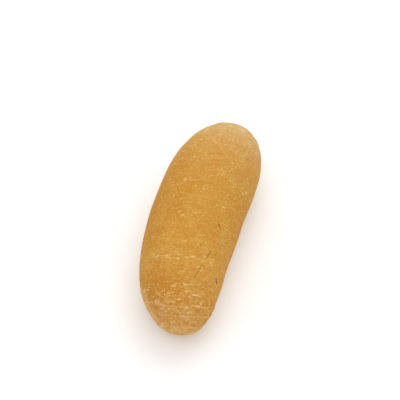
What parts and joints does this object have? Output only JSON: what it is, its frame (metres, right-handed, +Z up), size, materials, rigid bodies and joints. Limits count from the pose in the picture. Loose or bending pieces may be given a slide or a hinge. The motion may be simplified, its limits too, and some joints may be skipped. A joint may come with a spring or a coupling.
{
  "type": "olive oil bread roll",
  "caption": "Long soft bread roll, slightly bowed, with a matte golden crust, a flat pale base, and ends where the layers of the rolled-up dough show, one of them with its core standing out as a nub.",
  "frame": {"origin": "on the surface that the roll rests on, under the middle of its box", "axes": "+X along the roll towards the end with the nub, +Y to the side that it bows towards, +Z up"},
  "size_m": [0.132, 0.05, 0.046],
  "materials": {
    "crust": "matte"
  },
  "bodies": {
    "root": {"bread_roll": "crust"}
  },
  "joints": []
}
